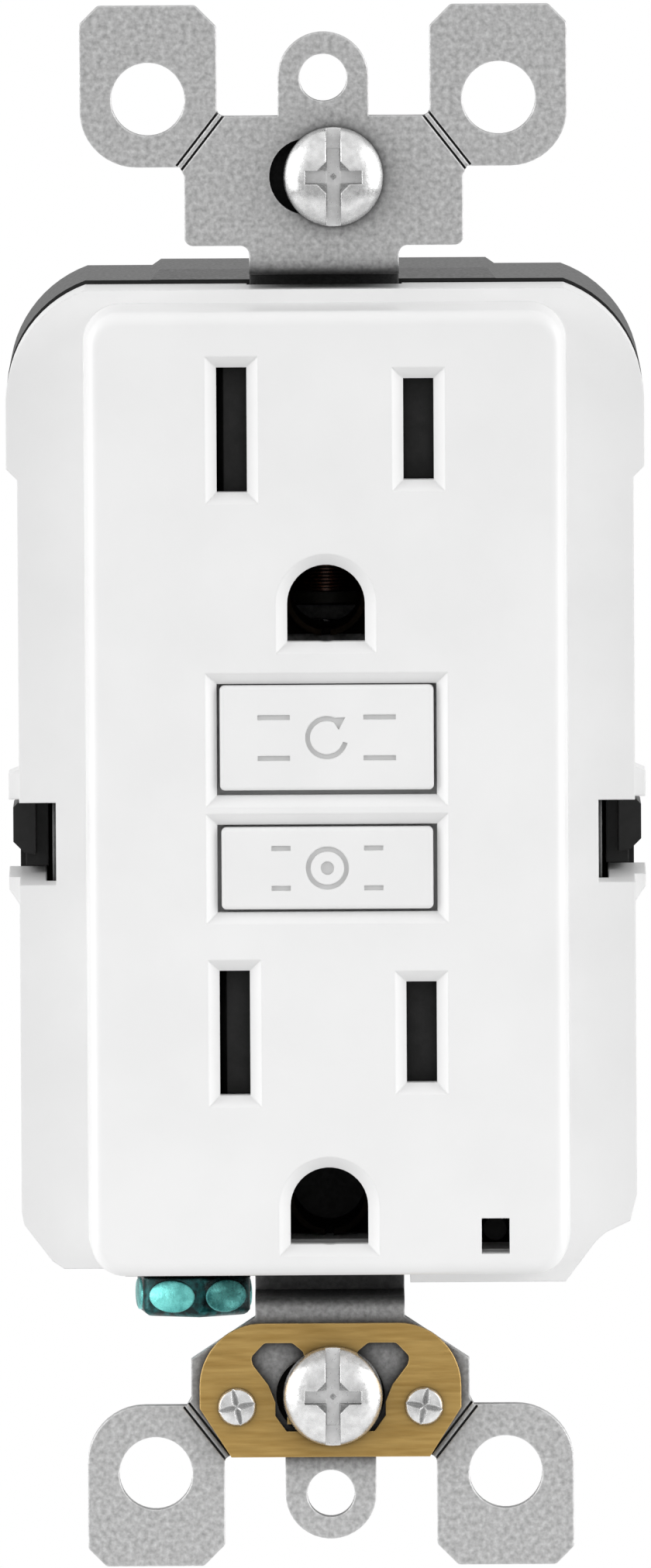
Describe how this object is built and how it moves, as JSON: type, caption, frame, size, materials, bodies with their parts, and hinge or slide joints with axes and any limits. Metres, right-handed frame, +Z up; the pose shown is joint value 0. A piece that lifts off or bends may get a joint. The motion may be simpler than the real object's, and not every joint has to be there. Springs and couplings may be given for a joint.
{
  "type": "ground fault receptacle",
  "caption": "Duplex ground-fault receptacle with test and reset buttons, shutters, steel mounting strap, ground clip and side wire terminals.",
  "frame": {"origin": "midway between the two wall-plate screw holes, on the front face of the strap's ears", "axes": "+Z up along the strap, -Y out of the face into the room, +Y back into the wall box, +X to the right seen from the room"},
  "size_m": [0.0434, 0.036, 0.1068],
  "materials": {
    "white_plastic": "fine satin moulding",
    "housing_plastic": "matt moulding",
    "tray_plastic": "matt moulding",
    "shutter_plastic": "smooth",
    "strap_steel": "galvanised, mottled",
    "clip_brass": "brushed along the width",
    "contact_brass": "stamped",
    "screw_zinc": "bright zinc",
    "brass_screw": "bright",
    "green_screw": "dyed green plating",
    "copper": "drawn",
    "contact_silver": "satin",
    "spring_steel": "drawn wire",
    "coil_wire": "enamelled winding",
    "core_ferrite": "sintered",
    "board_laminate": "solder mask",
    "component_black": "moulded epoxy",
    "component_blue": "dipped epoxy",
    "resistor_body": "lacquered",
    "clear_plastic": "polished",
    "bobbin_plastic": "natural nylon",
    "washer_fibre": "black fibre"
  },
  "bodies": {
    "housing": {"front_cover": "white_plastic", "reset_spring": "spring_steel", "mounting_strap": "strap_steel", "grounding_clip": "clip_brass", "clip_rivets": "screw_zinc", "ground_contacts": "contact_brass", "shutter_frame_top": "tray_plastic", "shutter_frame_bottom": "tray_plastic", "shutter_springs": "spring_steel", "middle_housing": "tray_plastic", "hot_load_contact": "contact_brass", "neutral_load_contact": "contact_brass", "fixed_contact_tips": "contact_silver", "line_hot_terminal": "contact_brass", "line_neutral_terminal": "contact_brass", "arm_posts": "copper", "test_contact_posts": "contact_brass", "solenoid_frame": "strap_steel", "solenoid_bobbin": "bobbin_plastic", "solenoid_coil": "coil_wire", "plunger_spring": "spring_steel", "transformer_case": "component_black", "transformer_cores": "core_ferrite", "line_conductors": "copper", "circuit_board": "board_laminate", "control_chip": "component_black", "thyristor": "component_black", "capacitor": "component_black", "surge_varistor": "component_blue", "resistors": "resistor_body", "status_led": "clear_plastic", "light_pipe": "clear_plastic", "rear_housing": "housing_plastic", "assembly_screws": "spring_steel"},
    "reset": {"reset_button": "white_plastic", "reset_pin": "spring_steel"},
    "test": {"test_button": "white_plastic"},
    "test_blade": {"test_contact_blade": "copper"},
    "lifter": {"lifter_block": "bobbin_plastic"},
    "latch": {"latch_plate": "spring_steel"},
    "hot_arm": {"line_hot_arm": "copper"},
    "neutral_arm": {"line_neutral_arm": "copper"},
    "solenoid_plunger": {"plunger": "spring_steel"},
    "shutter_top": {"shutter_slider_top": "shutter_plastic"},
    "shutter_bottom": {"shutter_slider_bottom": "shutter_plastic"},
    "washer_top": {"screw_washer_top": "washer_fibre"},
    "washer_bottom": {"screw_washer_bottom": "washer_fibre"},
    "top_screw": {"box_screw_top": "screw_zinc"},
    "bottom_screw": {"box_screw_bottom": "screw_zinc"},
    "earth_screw": {"ground_screw": "green_screw"},
    "hot_load_clamp": {"clamp_hot_load": "contact_brass"},
    "hot_load_screw": {"screw_hot_load": "brass_screw"},
    "hot_line_clamp": {"clamp_hot_line": "contact_brass"},
    "hot_line_screw": {"screw_hot_line": "brass_screw"},
    "neutral_load_clamp": {"clamp_neutral_load": "screw_zinc"},
    "neutral_load_screw": {"screw_neutral_load": "screw_zinc"},
    "neutral_line_clamp": {"clamp_neutral_line": "screw_zinc"},
    "neutral_line_screw": {"screw_neutral_line": "screw_zinc"}
  },
  "joints": [
    {"name": "reset_press", "type": "slide", "parent": "housing", "child": "reset", "axis": [0, 1, 0], "range_m": [0, 0.002], "stiffness_N_per_m": 900},
    {"name": "test_press", "type": "slide", "parent": "housing", "child": "test", "axis": [0, 1, 0], "range_m": [0, 0.0015], "stiffness_N_per_m": 700},
    {"name": "test_blade_bend", "type": "hinge", "parent": "housing", "child": "test_blade", "pos_m": [-0.0023, 0.00715, -0.00508], "axis": [0, 0, 1], "range_deg": [0, 21.5]},
    {"name": "lifter_drop", "type": "slide", "parent": "housing", "child": "lifter", "axis": [0, 1, 0], "range_m": [0, 0.0016], "stiffness_N_per_m": 500},
    {"name": "hot_arm_swing", "type": "hinge", "parent": "housing", "child": "hot_arm", "pos_m": [0.0094, 0.01365, -0.0101], "axis": [-1, 0, 0], "range_deg": [0, 9.3]},
    {"name": "neutral_arm_swing", "type": "hinge", "parent": "housing", "child": "neutral_arm", "pos_m": [-0.0094, 0.01365, -0.0101], "axis": [-1, 0, 0], "range_deg": [0, 9.3]},
    {"name": "plunger_stroke", "type": "slide", "parent": "housing", "child": "solenoid_plunger", "axis": [0, 0, -1], "range_m": [0, 0.002], "stiffness_N_per_m": 300, "deforming": ["plunger_spring"]},
    {"name": "latch_slide", "type": "slide", "parent": "lifter", "child": "latch", "axis": [0, 0, -1], "range_m": [0, 0.002]},
    {"name": "shutter_top_slide", "type": "slide", "parent": "housing", "child": "shutter_top", "axis": [1, 0, 0], "range_m": [0, 0.003], "stiffness_N_per_m": 60},
    {"name": "shutter_bottom_slide", "type": "slide", "parent": "housing", "child": "shutter_bottom", "axis": [1, 0, 0], "range_m": [0, 0.003], "stiffness_N_per_m": 60},
    {"name": "washer_top_slide", "type": "slide", "parent": "housing", "child": "washer_top", "axis": [1, 0, 0], "range_m": [-0.0025, 0.0011]},
    {"name": "washer_bottom_slide", "type": "slide", "parent": "housing", "child": "washer_bottom", "axis": [1, 0, 0], "range_m": [-0.0008, 0.0004]},
    {"name": "box_screw_top_turn", "type": "hinge", "parent": "washer_top", "child": "top_screw", "pos_m": [0.00067, 0.01, 0.04167], "axis": [0, -1, 0], "continuous": true},
    {"name": "box_screw_bottom_turn", "type": "hinge", "parent": "washer_bottom", "child": "bottom_screw", "pos_m": [0.00017, 0.01, -0.04167], "axis": [0, -1, 0], "continuous": true},
    {"name": "ground_screw_turn", "type": "hinge", "parent": "housing", "child": "earth_screw", "pos_m": [-0.00934, 0.0104, -0.034], "axis": [0, 0, -1], "range_deg": [0, 1080]},
    {"name": "screw_hot_load_turn", "type": "hinge", "parent": "housing", "child": "hot_load_screw", "pos_m": [0.0187, 0.015, 0.012], "axis": [1, 0, 0], "range_deg": [0, 1100]},
    {"name": "clamp_hot_load_open", "type": "slide", "parent": "housing", "child": "hot_load_clamp", "axis": [-1, 0, 0], "range_m": [0, 0.0024]},
    {"name": "screw_hot_line_turn", "type": "hinge", "parent": "housing", "child": "hot_line_screw", "pos_m": [0.0187, 0.015, -0.012], "axis": [1, 0, 0], "range_deg": [0, 1100]},
    {"name": "clamp_hot_line_open", "type": "slide", "parent": "housing", "child": "hot_line_clamp", "axis": [-1, 0, 0], "range_m": [0, 0.0024]},
    {"name": "screw_neutral_load_turn", "type": "hinge", "parent": "housing", "child": "neutral_load_screw", "pos_m": [-0.0187, 0.015, 0.012], "axis": [-1, 0, 0], "range_deg": [0, 1100]},
    {"name": "clamp_neutral_load_open", "type": "slide", "parent": "housing", "child": "neutral_load_clamp", "axis": [1, 0, 0], "range_m": [0, 0.0024]},
    {"name": "screw_neutral_line_turn", "type": "hinge", "parent": "housing", "child": "neutral_line_screw", "pos_m": [-0.0187, 0.015, -0.012], "axis": [-1, 0, 0], "range_deg": [0, 1100]},
    {"name": "clamp_neutral_line_open", "type": "slide", "parent": "housing", "child": "neutral_line_clamp", "axis": [1, 0, 0], "range_m": [0, 0.0024]}
  ],
  "couplings": [
    {"joint": "test_blade_bend", "follows": "test_press", "rad_per_m": 222.2},
    {"joint": "hot_arm_swing", "follows": "lifter_drop", "rad_per_m": 94.34},
    {"joint": "neutral_arm_swing", "follows": "lifter_drop", "rad_per_m": 94.34},
    {"joint": "latch_slide", "follows": "plunger_stroke", "ratio": 1},
    {"joint": "screw_hot_load_turn", "follows": "clamp_hot_load_open", "rad_per_m": 7917.7},
    {"joint": "screw_hot_line_turn", "follows": "clamp_hot_line_open", "rad_per_m": 7917.7},
    {"joint": "screw_neutral_load_turn", "follows": "clamp_neutral_load_open", "rad_per_m": 7917.7},
    {"joint": "screw_neutral_line_turn", "follows": "clamp_neutral_line_open", "rad_per_m": 7917.7}
  ]
}
